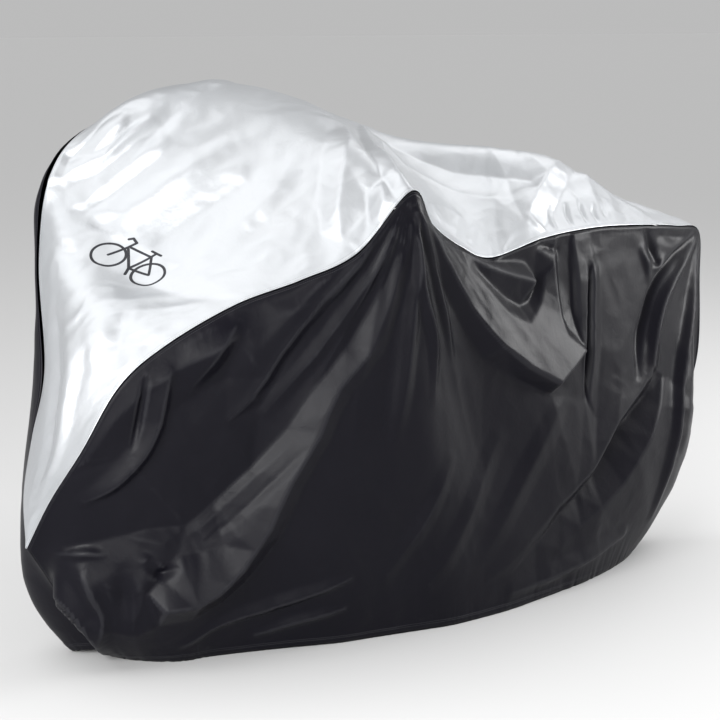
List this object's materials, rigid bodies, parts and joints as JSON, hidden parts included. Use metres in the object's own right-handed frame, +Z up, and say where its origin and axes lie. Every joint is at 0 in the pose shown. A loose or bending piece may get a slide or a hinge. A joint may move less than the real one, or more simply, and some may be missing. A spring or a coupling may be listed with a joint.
{
  "type": "bicycle cover",
  "caption": "Fitted two-colour bicycle cover of coated cloth, in the shape in which it hangs over the bicycle it hides, hollow and open underneath.",
  "frame": {"origin": "on the ground under the middle of the cover's bounding box", "axes": "+X along the cover from the front wheel to the rear wheel, +Y to the far side, +Z up"},
  "size_m": [1.9167, 0.714, 1.2099],
  "materials": {
    "silver_cloth": "silver-coated plain weave, satin sheen",
    "black_cloth": "black coated plain weave, soft gloss"
  },
  "bodies": {
    "root": {"top_strip": "silver_cloth", "near_panel": "black_cloth", "far_panel": "black_cloth"}
  },
  "joints": []
}
